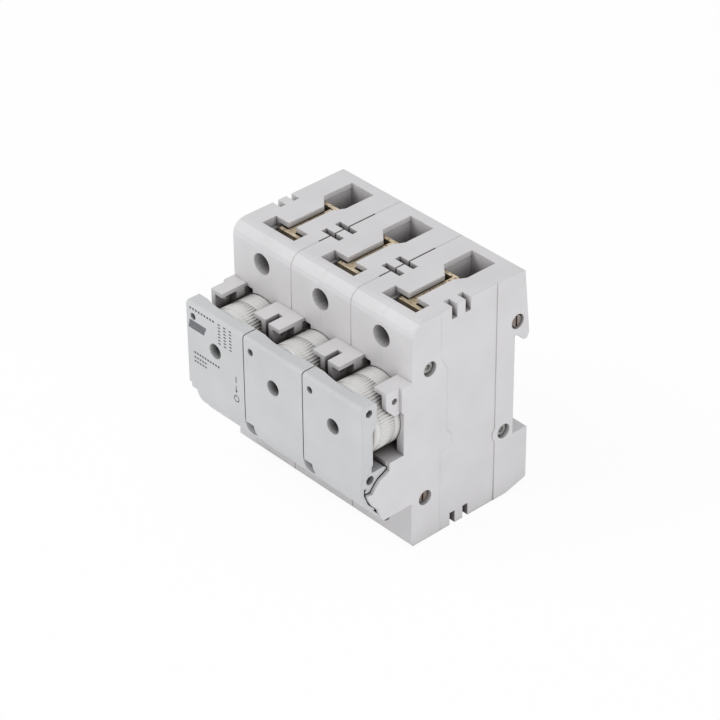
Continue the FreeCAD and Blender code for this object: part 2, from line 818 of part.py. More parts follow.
def base_contact():
    """Contact under the fuse link, with its strap to the left fixed contact."""
    half = strip / 2
    plate = box(8.0, 19.0, bar_depth - half, bar_depth + half, 33.0, fuse_height + 5.5)
    boss = shaft_y(middle, fuse_height, 4.5, bar_depth, link_rear - 0.1)
    arm = bent_strip([(bar_depth, 33.6), (contact_depth, 33.6), (contact_depth, 22.2)],
                     left_contact, left_contact + contact_width)
    return fuse([plate, boss, arm])


def lower_busbar():
    """Right fixed contact, with its strap down to the bar of the lower terminal."""
    axis, _ = terminals["bottom"]
    turn = 19.6
    arm = bent_strip([(contact_depth, 28.0), (contact_depth, turn), (lower_drop_depth, turn),
                      (lower_drop_depth, lower_strap_height), (bar_depth, lower_strap_height)],
                     right_contact, right_contact + contact_width)
    bar = terminal_bar(axis, -1, lower_strap_height + strip / 2)
    return fuse([arm, bar])


def contact_slide():
    """Flat slide with a slot for the drive pin and a window for the contact bridge."""
    pin_place = about_hinge(drive_start_angle, drive_radius)
    front = pin_place[0] + drive_pin_radius + 1.7
    x0 = middle - slide_thickness / 2
    x1 = middle + slide_thickness / 2
    plate = side_profile([
        (slide_rear_depth, slide_bottom, 0.5), (front - slide_bevel, slide_bottom, 0),
        (front, slide_bottom + slide_bevel, 0), (front, slide_top, 0.8), (slide_rear_depth, slide_top, 0.5)],
        x0, x1)
    half = drive_pin_radius + 0.25
    low = hinge_height - drive_radius - half
    slot = side_profile([
        (pin_place[0] - half, low, 0.4), (pin_place[0] + half, low, 0.4),
        (pin_place[0] + half, slide_top - slide_rim, 0.4),
        (pin_place[0] - half, slide_top - slide_rim, 0.4)],
        x0 - 1, x1 + 1)
    window = box(x0 - 1, x1 + 1, slide_rear_depth + slide_rim, contact_depth - strip / 2,
                 slide_bottom + slide_rim, slide_top - slide_rim)
    return plate.cut([slot, window])


def contact_bridge():
    """Bar that joins the two fixed contacts, with a raised tip at each end."""
    front = contact_depth - strip / 2
    rear = front - bridge_thickness
    tip_width = 2.4
    tip_height = 0.4
    low = slide_bottom + slide_rim + 0.1
    high = slide_top - slide_rim - 0.1
    left = left_contact + (contact_width - tip_width) / 2
    right = right_contact + (contact_width - tip_width) / 2
    bar = box(left - 0.3, right + tip_width + 0.3, rear, front - tip_height, low, high)
    tips = [box(x, x + tip_width, front - tip_height, front, low + 0.6, high - 0.6) for x in (left, right)]
    return fuse([bar] + tips)


def zigzag(low, high, half, bends, leaf):
    """Both edges of a leaf bent to and fro between two ends, as (across, along) points."""
    step = (high - low) / bends
    offset = leaf / (2 * math.sin(math.atan2(step, 2 * half)))
    line = [((half - offset) * (1 if i % 2 else -1), low + i * step) for i in range(bends + 1)]
    return [(x - offset, z) for x, z in line] + [(x + offset, z) for x, z in reversed(line)]


def contact_spring():
    """Wavy leaf spring that presses the bridge on the fixed contacts."""
    rear = slide_rear_depth + slide_rim
    front = contact_depth - strip / 2 - bridge_thickness
    centre = (slide_bottom + slide_top) / 2
    half = (slide_top - slide_bottom) / 2 - slide_rim - 0.2
    corners = [(d, centre + z) for z, d in zigzag(rear, front, half, contact_bends, contact_leaf)]
    return side_profile(plain(corners), middle - 0.9, middle + 0.9)


def clamp_cage(axis, up):
    """Bent strap round the wire: a front plate on the screw, a roof strap and a rear plate."""
    face = height if up > 0 else 0
    roof = face - up * (wall + cage_roof_gap - 0.5)
    foot_end = axis - up * cage_reach
    z0, z1 = sorted((roof, foot_end))
    strap0, strap1 = sorted((roof, roof - up * cage_wall))
    front = box(cage_left, cage_right, cage_front_depth, cage_front_depth + cage_wall, z0, z1)
    rear = box(entry_left + 0.5, entry_right - 0.5, cage_rear_depth, cage_rear_depth + cage_wall, z0, z1)
    strap = box(slit_left + 0.15, slit_right - 0.15, cage_rear_depth, cage_front_depth + cage_wall,
                strap0, strap1)
    hole = bore_y(middle, axis, screw_radius + 0.05, cage_front_depth - 1, cage_front_depth + cage_wall + 1)
    return fuse([front, rear, strap]).cut(hole)


def terminal_screw(axis):
    """Slotted cheese-head screw that ends on the terminal's bar."""
    head_front_end = screw_head_depth + screw_head_length
    head = shaft_y(middle, axis, screw_head_radius, screw_head_depth, head_front_end, seen_error)
    shank = shaft_y(middle, axis, screw_radius, screw_tip_depth, screw_head_depth)
    slot = box(middle - 4, middle + 4, head_front_end - 1.2, head_front_end + 1, axis - 0.5, axis + 0.5)
    return head.fuse(shank).cut(slot).removeSplitter()


def rail_latch():
    """Sliding latch with a bevelled nose for the rail, a flange for its channel, and a pocket."""
    half = latch_half_width
    blade = side_profile([
        (latch_rear, latch_bottom, 0), (latch_front, latch_bottom, 0), (latch_front, latch_nose, 0.3),
        (latch_rear + 2.1, latch_nose, 0), (latch_rear, latch_nose - 2.0, 0)], middle - half, middle + half)
    flange = box(middle - half - latch_flange, middle + half + latch_flange, latch_rear + latch_skin,
                 latch_front, flange_bottom, flange_top)
    pocket = box(middle - pocket_half_width, middle + pocket_half_width, latch_rear + latch_skin,
                 latch_front + 1, pocket_bottom, pocket_top)
    slot = box(middle - 2.0, middle + 2.0, -1, latch_rear + 1.3, latch_bottom + 1.5, latch_bottom + 3.3)
    return fuse([blade, flange]).cut([pocket, slot])


def latch_spring():
    """Zigzag leaf between the post and the top of the latch's pocket."""
    half = pocket_half_width - latch_gap
    low = pocket_bottom + latch_gap + post_height
    corners = plain([(middle + x, z) for x, z in zigzag(low, pocket_top, half, latch_bends, latch_leaf)])
    front = latch_front - latch_gap
    rear = latch_rear + latch_skin + latch_gap
    wire = outline(corners, lambda p: Vector(p.x, y_at(rear), p.y))
    return Part.Face(wire).extrude(Vector(0, rear - front, 0))


def tie_screw(d, z, recess, slotted):
    """Screw through all the poles: a head in a recess at the right end and a nut at the left."""
    length = poles * pitch
    shank = shaft_x(d, z, tie_radius, recess, length - tie_recess)
    head = shaft_x(d, z, tie_head_radius, length - tie_recess, length - recess, seen_error)
    nut = prism_x(d, z, nut_radius, 6, recess, tie_recess)
    whole = fuse([shank, head, nut])
    if slotted:
        tool = box(length - recess - 0.8, length, d - 0.35, d + 0.35, z - 3, z + 3)
    else:
        tool = prism_x(d, z, 1.1, 6, length - recess - 1.2, length)
    return whole.cut(tool)


def place(shape, pole):
    """Copy of a pole's piece, moved to its place in the row frame."""
    return shape.translated(Vector((pole - poles / 2) * pitch, 0, 0))


def write(name, shape):
    """One STEP file for a node."""
    shape.exportStep("parts/%s.step" % name)


def build():
    os.makedirs("parts", exist_ok=True)
    same = {
        "thread_sleeve": thread_sleeve(),
        "base_contact": base_contact(),
        "lower_busbar": lower_busbar(),
        "fuse_head": fuse_head(),
        "sight_glass": sight_glass(),
        "fuse_link": fuse_link(),
        "contact_slide": contact_slide(),
        "contact_bridge": contact_bridge(),
        "contact_spring": contact_spring(),
        "rail_latch": rail_latch(),
        "latch_spring": latch_spring(),
    }
    for end, (axis, up) in terminals.items():
        same["clamp_cage_" + end] = clamp_cage(axis, up)
        same["terminal_screw_" + end] = terminal_screw(axis)
    for pole in range(poles):
        for name, shape in same.items():
            write("%s_%d" % (name, pole + 1), place(shape, pole))
        left, right = pole_housing(pole)
        write("housing_left_%d" % (pole + 1), place(left, pole))
        write("housing_right_%d" % (pole + 1), place(right, pole))
        write("handle_plate_%d" % (pole + 1), place(handle_plate(pole), pole))
    length = poles * pitch
    ties = [tie_screw(d, z, 1.2, False) for d, z in socket_screws]
    write("tie_screws", place(Part.makeCompound(ties), 0))
    write("front_tie_screw", place(tie_screw(*slotted_screw, 1.2, True), 0))
    write("rear_tie_screw", place(tie_screw(*rear_screw, rear_screw_recess, True), 0))
    write("handle_tie_rod", place(shaft_x(tie_rod_depth, tie_rod_height, tie_rod_radius, tie_rod_recess,
                                          length - tie_rod_recess), 0))
    write("pivot_pin", place(rod_x(hinge_depth, hinge_height, pin_radius, pin_skin + pin_clearance,
                                   length - pin_skin - pin_clearance), 0))


build()
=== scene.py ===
"""Studio view of a three-pole fuse switch disconnector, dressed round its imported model."""
import json
import math
import bpy
from mathutils import Matrix, Vector


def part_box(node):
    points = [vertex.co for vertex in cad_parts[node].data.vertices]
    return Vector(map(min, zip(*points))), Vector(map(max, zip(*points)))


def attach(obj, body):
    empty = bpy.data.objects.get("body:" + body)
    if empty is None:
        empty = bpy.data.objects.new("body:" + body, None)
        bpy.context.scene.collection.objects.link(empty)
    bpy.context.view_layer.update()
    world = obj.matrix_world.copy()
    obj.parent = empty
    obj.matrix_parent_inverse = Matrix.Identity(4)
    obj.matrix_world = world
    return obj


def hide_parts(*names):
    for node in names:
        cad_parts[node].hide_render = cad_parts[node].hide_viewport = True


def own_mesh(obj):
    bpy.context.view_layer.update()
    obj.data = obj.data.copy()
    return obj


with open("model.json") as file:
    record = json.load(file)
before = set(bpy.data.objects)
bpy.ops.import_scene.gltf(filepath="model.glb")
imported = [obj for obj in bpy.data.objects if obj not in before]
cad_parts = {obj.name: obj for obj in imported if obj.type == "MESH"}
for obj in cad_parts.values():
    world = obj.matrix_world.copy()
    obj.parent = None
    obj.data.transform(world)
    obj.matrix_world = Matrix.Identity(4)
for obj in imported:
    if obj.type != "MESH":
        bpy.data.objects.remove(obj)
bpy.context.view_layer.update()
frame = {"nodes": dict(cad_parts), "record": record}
mm = 0.001
poles = (1, 2, 3)


def corners(node):
    """Lowest and highest corner of a node at rest."""
    low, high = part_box(node)
    return Vector(low), Vector(high)


# Colours and nodes

def colour(code):
    """Linear colour of an sRGB hex value."""
    parts = [int(code[i:i + 2], 16) / 255 for i in (1, 3, 5)]
    return [c / 12.92 if c <= 0.04045 else ((c + 0.055) / 1.055) ** 2.4 for c in parts] + [1.0]


def add(tree, kind, inputs=None, **settings):
    """A node with its settings, its inputs given as values or as the sockets that they are linked from."""
    node = tree.nodes.new(kind)
    for name, value in settings.items():
        setattr(node, name, value)
    for name, value in (inputs or {}).items():
        socket = node.inputs[name]
        if isinstance(value, bpy.types.NodeSocket):
            tree.links.new(value, socket)
        else:
            socket.default_value = value
    return node


def new_material(name):
    """An empty material, its tree and its object coordinates."""
    material = bpy.data.materials.new(name)
    material.use_nodes = True
    tree = material.node_tree
    tree.nodes.clear()
    place = add(tree, "ShaderNodeTexCoord").outputs["Object"]
    return material, tree, place


def finish_surface(tree, inputs):
    """Principled shader with these inputs, as the material's surface."""
    shader = add(tree, "ShaderNodeBsdfPrincipled", inputs)
    add(tree, "ShaderNodeOutputMaterial", {"Surface": shader.outputs["BSDF"]})


def spread(tree, value, low=0.0, high=1.0, at_low=0.0, at_high=1.0):
    """Value between two limits, turned evenly into another range and held at its ends."""
    ramp = add(tree, "ShaderNodeMapRange", {
        "Value": value, "From Min": low, "From Max": high, "To Min": at_low, "To Max": at_high})
    return ramp.outputs["Result"]


def patches(tree, place, size, contrast):
    """Soft random patches of a real size, from 0 to 1."""
    noise = add(tree, "ShaderNodeTexNoise", {"Vector": place, "Scale": 1 / size, "Detail": 4.0})
    return spread(tree, noise.outputs["Fac"], low=0.5 - contrast, high=0.5 + contrast)


def blend_colours(tree, factor, first, second):
    """Colour between two, by a factor. Each is a hex value or a socket."""
    first_input, second_input, colour_output = 6, 7, 2
    blend = add(tree, "ShaderNodeMix", {"Factor": factor}, data_type="RGBA")
    for number, value in ((first_input, first), (second_input, second)):
        if isinstance(value, bpy.types.NodeSocket):
            tree.links.new(value, blend.inputs[number])
        else:
            blend.inputs[number].default_value = colour(value)
    return blend.outputs[colour_output]


def moulded_plastic(name, light, dark, painted_shade, roughness, grain, edge):
    """Injection-moulded plastic: nearly even colour, a fine spark-eroded grain, softened edges, painted grey
    shade that darkens corners and seams, and painted brownish shade deep in the openings."""
    # Reach and colour of the painted shade: a short reach for corners and seams, a long reach and a brownish
    # colour for deep openings.
    shade_reach, deep_shade_reach, deep_shade = 1.6 * mm, 14 * mm, "#3B3531"
    material, tree, place = new_material(name)
    cloud = patches(tree, place, size=14 * mm, contrast=0.22)
    base = blend_colours(tree, cloud, light, dark)
    # Painted shade: ambient occlusion darkens corners and seams towards a grey colour.
    corner = add(tree, "ShaderNodeAmbientOcclusion", {"Distance": shade_reach}, samples=4)
    shade = spread(tree, corner.outputs["AO"], low=0.05, high=0.6, at_low=0.75, at_high=0.0)
    corner_shaded = blend_colours(tree, shade, base, painted_shade)
    # Painted shade: ambient occlusion over a long reach darkens deep openings towards a dark brownish
    # colour.
    cavity = add(tree, "ShaderNodeAmbientOcclusion", {"Distance": deep_shade_reach}, samples=8)
    depth = spread(tree, cavity.outputs["AO"], low=0.04, high=0.56, at_low=1.0, at_high=0.0)
    deep_shaded = blend_colours(tree, depth, corner_shaded, deep_shade)
    gloss = patches(tree, place, size=5 * mm, contrast=0.3)
    rough = spread(tree, gloss, at_low=roughness - 0.04, at_high=roughness + 0.05)
    rounded = add(tree, "ShaderNodeBevel", {"Radius": edge}, samples=4)
    pits = add(tree, "ShaderNodeTexNoise", {"Vector": place, "Scale": 1 / grain, "Detail": 2.0})
    bump = add(tree, "ShaderNodeBump", {
        "Height": pits.outputs["Fac"], "Strength": 0.10, "Distance": 0.04 * mm,
        "Normal": rounded.outputs["Normal"]})
    finish_surface(tree, {
        "Base Color": deep_shaded, "Roughness": rough, "IOR": 1.5, "Normal": bump.outputs["Normal"]})
    return material


def plated_metal(name, bright, dull, stain, roughness, stain_size, stain_amount):
    """Plated steel or brass: bright metal that has gone dull in patches, with spots of stain."""
    scratch_size = 0.25 * mm
    material, tree, place = new_material(name)
    cloud = patches(tree, place, size=3 * mm, contrast=0.2)
    base = blend_colours(tree, cloud, bright, dull)
    spots = add(tree, "ShaderNodeTexNoise", {
        "Vector": place, "Scale": 1 / stain_size, "Detail": 6.0, "Roughness": 0.65})
    where = spread(tree, spots.outputs["Fac"], low=0.62 - stain_amount, high=0.70 - stain_amount)
    stained = blend_colours(tree, where, base, stain)
    rough = spread(tree, where, at_low=roughness, at_high=0.85)
    metal = spread(tree, where, at_low=1.0, at_high=0.25)
    scratches = add(tree, "ShaderNodeTexNoise", {"Vector": place, "Scale": 1 / scratch_size, "Detail": 3.0})
    bump = add(tree, "ShaderNodeBump", {
        "Height": scratches.outputs["Fac"], "Strength": 0.15, "Distance": 0.03 * mm})
    finish_surface(tree, {
        "Base Color": stained, "Roughness": rough, "Metallic": metal, "Normal": bump.outputs["Normal"]})
    return material


def clear_glass():
    """Small pane of clear glass, a little green."""
    material, tree, place = new_material("soda_lime_glass")
    haze = patches(tree, place, size=4 * mm, contrast=0.3)
    rough = spread(tree, haze, at_low=0.02, at_high=0.09)
    finish_surface(tree, {
        "Base Color": colour("#EDF2EE"), "Roughness": rough, "IOR": 1.52, "Transmission Weight": 1.0})
    return material


# Materials of the real pieces

# In each moulded plastic below, the colour given for corners and seams is painted shade.
# Thermoset moulding compound: pale warm grey, satin from the eroded mould, with bright soft edges
housing_plastic = moulded_plastic(
    "thermoset_housing", "#D4D2D2", "#CDCBCB", painted_shade="#7C7A7A",
    roughness=0.42, grain=0.28 * mm, edge=0.22 * mm)
# The same compound in a cooler, slightly darker batch, smoother because hands polish it
handle_plastic = moulded_plastic(
    "thermoset_handle", "#C7C8C8", "#C0C1C1", painted_shade="#7C7C7C",
    roughness=0.36, grain=0.24 * mm, edge=0.22 * mm)
# Melamine screw cap: whiter and glossy, so that its ribs and front edge catch small highlights
head_plastic = moulded_plastic(
    "melamine_head", "#D8D7D4", "#D0CFCB", painted_shade="#6F6A63",
    roughness=0.18, grain=0.30 * mm, edge=0.12 * mm)
# Polyamide of the latch: waxy and duller than the thermoset
latch_plastic = moulded_plastic(
    "polyamide_latch", "#BDBDBF", "#B4B4B6", painted_shade="#7C7C7D",
    roughness=0.45, grain=0.30 * mm, edge=0.15 * mm)
# The same polyamide dyed dark grey, for the contact slide inside
slide_plastic = moulded_plastic(
    "polyamide_slide", "#55555A", "#4B4B50", painted_shade="#2B2B2D",
    roughness=0.5, grain=0.30 * mm, edge=0.15 * mm)
# Porcelain body of the fuse link: white with a thin glaze
link_ceramic = moulded_plastic(
    "fuse_porcelain", "#E8E6DF", "#E0DDD5", painted_shade="#A9A498",
    roughness=0.25, grain=0.30 * mm, edge=0.15 * mm)
# Steel with a yellow passivation: pale brass colour, spotted brown where it has started to rust
cage_steel = plated_metal(
    "yellow_passivated_steel", "#DCD0B8", "#BBA98C", stain="#6A4630",
    roughness=0.45, stain_size=0.9 * mm, stain_amount=0.08)
# Zinc-plated steel of the socket and terminal screws: bright grey with soft, broken highlights
zinc_steel = plated_metal(
    "zinc_plated_steel", "#C8CAC6", "#A9ACA7", stain="#6E6455",
    roughness=0.34, stain_size=1.3 * mm, stain_amount=0.0)
# The same plating gone dull and brownish, on the slotted screws at the lower front and upper rear
dull_screw_steel = plated_metal(
    "dull_zinc_screw", "#A79C95", "#85776F", stain="#5B4A44",
    roughness=0.45, stain_size=1.0 * mm, stain_amount=0.02)
# Tinned brass of the contacts: warm and matt, tarnished brown in spots
busbar_brass = plated_metal(
    "tin_plated_brass", "#B9AD8C", "#8E8061", stain="#5A452B",
    roughness=0.40, stain_size=1.2 * mm, stain_amount=0.05)
# Drawn steel of the pivot pin and the tie rod: plain dark grey, half hidden
rod_steel = plated_metal(
    "drawn_steel_rod", "#8F8F8E", "#767675", stain="#4E4A46",
    roughness=0.45, stain_size=1.0 * mm, stain_amount=0.0)
# Bright spring wire: smoother than the rods, so that it shows a thin line of light
spring_steel = plated_metal(
    "bright_spring_steel", "#9C9C9B", "#858584", stain="#5A5650",
    roughness=0.35, stain_size=1.0 * mm, stain_amount=0.0)
# Small sight glass in the head, clear with a faint haze
pane_glass = clear_glass()

finishes = {
    "housing": housing_plastic, "handle": handle_plastic, "handle_rod": rod_steel, "head": head_plastic,
    "glass": pane_glass, "ceramic": link_ceramic, "slide": slide_plastic, "latch": latch_plastic,
    "copper_alloy": busbar_brass, "spring_steel": spring_steel, "plated_steel": cage_steel,
    "zinc_steel": zinc_steel,
}
own_finishes = {"front_tie_screw": dull_screw_steel, "rear_tie_screw": dull_screw_steel}
for part in frame["record"]["subparts"]:
    finish = own_finishes.get(part["node"], finishes[part["material_slot"]])
    for material_slot in frame["nodes"][part["node"]].material_slots:
        material_slot.material = finish


# Ways to make a piece

def new_piece(name, mesh, body):
    """Object of this mesh, at the origin, that moves with a body of the model."""
    piece = bpy.data.objects.new(name, mesh)
    bpy.context.collection.objects.link(piece)
    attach(piece, body)
    return piece


def mesh_of(name, points, faces, material, smooth_angle=None):
    """Mesh from points in metres and faces, smooth where its faces meet at less than an angle."""
    mesh = bpy.data.meshes.new(name)
    mesh.from_pydata(points, [], faces)
    mesh.materials.append(material)
    if smooth_angle is not None:
        mesh.shade_smooth()
        mesh.set_sharp_from_angle(angle=smooth_angle)
    mesh.validate()
    return mesh


def node_tree_for(name, sockets):
    """Empty geometry tree with named inputs, and those inputs as sockets to link from."""
    tree = bpy.data.node_groups.new(name, "GeometryNodeTree")
    for socket, kind in sockets:
        tree.interface.new_socket(name=socket, in_out="INPUT", socket_type="NodeSocket" + kind)
    tree.interface.new_socket(name="Geometry", in_out="OUTPUT", socket_type="NodeSocketGeometry")
    return tree, add(tree, "NodeGroupInput").outputs


def end_tree(tree, given, geometry):
    """Tree that lays what it has made along the depth, moves it to its place and gives it its material."""
    turned_mesh = add(tree, "GeometryNodeTransform", {
        "Geometry": geometry, "Translation": given["Place"], "Rotation": (math.radians(-90), 0, 0)})
    real = add(tree, "GeometryNodeRealizeInstances", {"Geometry": turned_mesh.outputs[0]})
    coated = add(tree, "GeometryNodeSetMaterial", {
        "Geometry": real.outputs[0], "Material": given["Material"]})
    add(tree, "NodeGroupOutput", {"Geometry": coated.outputs[0]})
    return tree


def rib_tree():
    """Ribs along a drum: one straight round bar on each point of a circle."""
    tree, given = node_tree_for("ribs_round_a_drum", (
        ("Count", "Int"), ("Drum Radius", "Float"), ("Rib Radius", "Float"), ("Length", "Float"),
        ("Place", "Vector"), ("Material", "Material")))
    circle = add(tree, "GeometryNodeMeshCircle", {
        "Vertices": given["Count"], "Radius": given["Drum Radius"]})
    rib = add(tree, "GeometryNodeMeshCylinder", {
        "Vertices": 8, "Radius": given["Rib Radius"], "Depth": given["Length"]})
    ribs = add(tree, "GeometryNodeInstanceOnPoints", {
        "Points": circle.outputs["Mesh"], "Instance": rib.outputs["Mesh"]})
    return end_tree(tree, given, ribs.outputs["Instances"])


def thread_tree():
    """Screw thread: a fine round bead that winds along a spiral."""
    tree, given = node_tree_for("thread_on_a_shank", (
        ("Turns", "Float"), ("Radius", "Float"), ("Bead", "Float"), ("Length", "Float"),
        ("Place", "Vector"), ("Material", "Material")))
    spiral = add(tree, "GeometryNodeCurveSpiral", {
        "Resolution": 20, "Rotations": given["Turns"], "Start Radius": given["Radius"],
        "End Radius": given["Radius"], "Height": given["Length"]})
    section = add(tree, "GeometryNodeCurvePrimitiveCircle", {"Resolution": 6, "Radius": given["Bead"]})
    bead = add(tree, "GeometryNodeCurveToMesh", {
        "Curve": spiral.outputs["Curve"], "Profile Curve": section.outputs["Curve"], "Fill Caps": True})
    return end_tree(tree, given, bead.outputs["Mesh"])


def grown(name, tree, values, body):
    """Piece that a tree makes from these values, as a plain mesh that moves with a body."""
    holder = bpy.data.objects.new(name, bpy.data.meshes.new(name))
    bpy.context.collection.objects.link(holder)
    growth = holder.modifiers.new("growth", "NODES")
    growth.node_group = tree
    for item in tree.interface.items_tree:
        if item.in_out == "INPUT":
            growth[item.identifier] = values[item.name]
    bpy.context.view_layer.update()
    made = bpy.data.meshes.new_from_object(holder.evaluated_get(bpy.context.evaluated_depsgraph_get()))
    made.shade_smooth()
    holder.modifiers.remove(growth)
    holder.data = made
    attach(holder, body)


# Fuse heads: a round drum with a soft front edge, fine ribs and a ring with grooves behind them

glass_radius, glass_depth, peep_radius = 5.0 * mm, 1.25 * mm, 4.0 * mm
front_rounding, front_rounding_depth = 2.1 * mm, 1.5 * mm
drum_radius, ring_start, ring_slope = 11.6 * mm, 8.3 * mm, 0.15 * mm
ring_radius, ring_end = 11.85 * mm, 13.7 * mm
stem_radius, bore_radius, cap_thickness = 8.95 * mm, 8.05 * mm, 2.6 * mm
rib_count, rib_radius, rib_proud, rib_start = 72, 0.32 * mm, 0.17 * mm, 2.3 * mm
groove_depth, groove_places = 0.12 * mm, (9.9 * mm, 11.2 * mm, 12.5 * mm)


def head_profile(length):
    """Radius and distance behind the front of each ring of points, round the wall and back to its start."""
    rounding_steps = 6
    profile = [(peep_radius, glass_depth), (glass_radius, glass_depth), (glass_radius, 0.0)]
    for i in range(rounding_steps + 1):
        turn = math.radians(90 * i / rounding_steps)
        profile.append((drum_radius - front_rounding * (1 - math.sin(turn)),
                        front_rounding_depth * (1 - math.cos(turn))))
    profile += [(drum_radius, ring_start - ring_slope), (ring_radius, ring_start)]
    for place in groove_places:
        profile += [(ring_radius, place - groove_depth), (ring_radius - groove_depth, place),
                    (ring_radius, place + groove_depth)]
    return profile + [(ring_radius, ring_end), (stem_radius, ring_end), (stem_radius, length),
                      (bore_radius, length), (bore_radius, cap_thickness), (peep_radius, cap_thickness)]


def head_mesh(x, z, front, length):
    """Head turned about the fuse's axis, as one closed wall with a peephole under the glass."""
    profile = head_profile(length)
    steps = 96
    points, faces = [], []
    for radius, back in profile:
        for i in range(steps):
            turn = 2 * math.pi * i / steps
            points.append((x + radius * math.cos(turn), front + back, z + radius * math.sin(turn)))
    for row in range(len(profile)):
        near, far = row * steps, (row + 1) % len(profile) * steps
        for i in range(steps):
            after = (i + 1) % steps
            faces.append((near + i, near + after, far + after, far + i))
    return mesh_of("round_head", points, faces, head_plastic, smooth_angle=math.radians(35))


def fuse_heads():
    """Round heads for all the poles, each with its ribs, in place of the model's drums."""
    ribs = rib_tree()
    rib_length = ring_start - rib_start
    for pole in poles:
        low, high = corners("fuse_head_%d" % pole)
        x, z = (low.x + high.x) / 2, (low.z + high.z) / 2
        body = "head_%d" % pole
        head = new_piece("round_head_%d" % pole, head_mesh(x, z, low.y, high.y - low.y), body)
        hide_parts("fuse_head_%d" % pole)
        grown("head_ribs_%d" % pole, ribs, {
            "Count": rib_count, "Drum Radius": drum_radius - rib_radius + rib_proud,
            "Rib Radius": rib_radius, "Length": rib_length,
            "Place": (x, low.y + rib_start + rib_length / 2, z), "Material": head_plastic}, body)


# Threads of the terminal screws

def screw_threads():
    """Thread on the shank of each terminal screw, from behind its head to its tip."""
    pitch, bead, shank_radius, head_length, tip = 0.8 * mm, 0.24 * mm, 2.4 * mm, 2.8 * mm, 0.6 * mm
    threads = thread_tree()
    for end in ("top", "bottom"):
        for pole in poles:
            low, high = corners("terminal_screw_%s_%d" % (end, pole))
            length = high.y - low.y - head_length - 2 * tip
            grown("screw_thread_%s_%d" % (end, pole), threads, {
                "Turns": length / pitch, "Radius": shank_radius - bead / 2, "Bead": bead, "Length": length,
                "Place": ((low.x + high.x) / 2, low.y + head_length + tip, (low.z + high.z) / 2),
                "Material": zinc_steel}, "screw_%s_%d" % (end, pole))


# Latch springs

def latch_springs():
    """Bent round wire behind each latch, in place of the model's spring; it stays with the housing."""
    wire_radius, bends, travel = 0.28 * mm, 6, 2.5 * mm
    for pole in poles:
        low, high = corners("latch_spring_%d" % pole)
        line = bpy.data.curves.new("latch_wire", "CURVE")
        line.dimensions = "3D"
        line.bevel_depth = wire_radius
        line.bevel_resolution = 3
        line.use_fill_caps = True
        path = line.splines.new("POLY")
        path.points.add(bends + 1)
        for i, point in enumerate(path.points):
            side = (low.x + wire_radius, high.x - wire_radius)[i % 2]
            height = low.z + wire_radius + (high.z - low.z - 2 * wire_radius) * i / (bends + 1)
            point.co = (side, (low.y + high.y) / 2, height, 1)
        bent = bpy.data.objects.new("latch_wire", line)
        bpy.context.collection.objects.link(bent)
        bpy.context.view_layer.update()
        mesh = bpy.data.meshes.new_from_object(bent.evaluated_get(bpy.context.evaluated_depsgraph_get()))
        bpy.data.objects.remove(bent)
        mesh.materials.clear()
        mesh.materials.append(spring_steel)
        spring = new_piece("wire_spring_%d" % pole, mesh, "housing")
        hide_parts("latch_spring_%d" % pole)
        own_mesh(spring)


# Marks on the left plate: on and off signs, a plain field, and short dashes where small print is

def printed_ink(name, code):
    """Matt pad-printing ink: flat and dark, a little worn where fingers rub it."""
    material, tree, place = new_material(name)
    worn = patches(tree, place, size=0.8 * mm, contrast=0.35)
    finish_surface(tree, {
        "Base Color": blend_colours(tree, worn, code, "#55575A"), "Roughness": 0.6})
    return material


def block(x0, x1, z0, z1):
    """Upright block of print between two sides and two heights."""
    return [(x0, z0), (x1, z0), (x1, z1), (x0, z1)]


def off_ring(x, z, radius, stroke):
    """Ring of the off sign, as short four-sided stretches."""
    steps = 28
    turns = [2 * math.pi * i / steps for i in range(steps + 1)]
    inner = radius - stroke
    return [[(x + radius * math.cos(a), z + radius * math.sin(a)),
             (x + radius * math.cos(b), z + radius * math.sin(b)),
             (x + inner * math.cos(b), z + inner * math.sin(b)),
             (x + inner * math.cos(a), z + inner * math.sin(a))] for a, b in zip(turns, turns[1:])]


def dashes(left, top, rows, columns, across, width, stroke, down=0.0):
    """Rows of short dashes that stand for small print, with their steps across and down."""
    return [block(left + column * across, left + column * across + width,
                  top - row * down - stroke, top - row * down)
            for row in range(rows) for column in range(columns)]


def print_on_plate(name, shapes, ink):
    """Film of ink on the front of the left plate, from shapes in millimetres: the distance from the
    plate's left edge and the height above the underside."""
    film_front, film_rear = 0.012 * mm, 0.02 * mm
    low = corners("handle_plate_1")[0]
    points, faces = [], []
    for shape in shapes:
        start, sides = len(points), len(shape)
        for y in (low.y - film_front, low.y + film_rear):
            points += [(low.x + x * mm, y, z * mm) for x, z in shape]
        faces.append(tuple(range(start, start + sides)))
        faces.append(tuple(reversed(range(start + sides, start + 2 * sides))))
        for i in range(sides):
            after = (i + 1) % sides
            faces.append((start + after, start + i, start + sides + i, start + sides + after))
    new_piece(name, mesh_of(name, points, faces, ink), "handle")


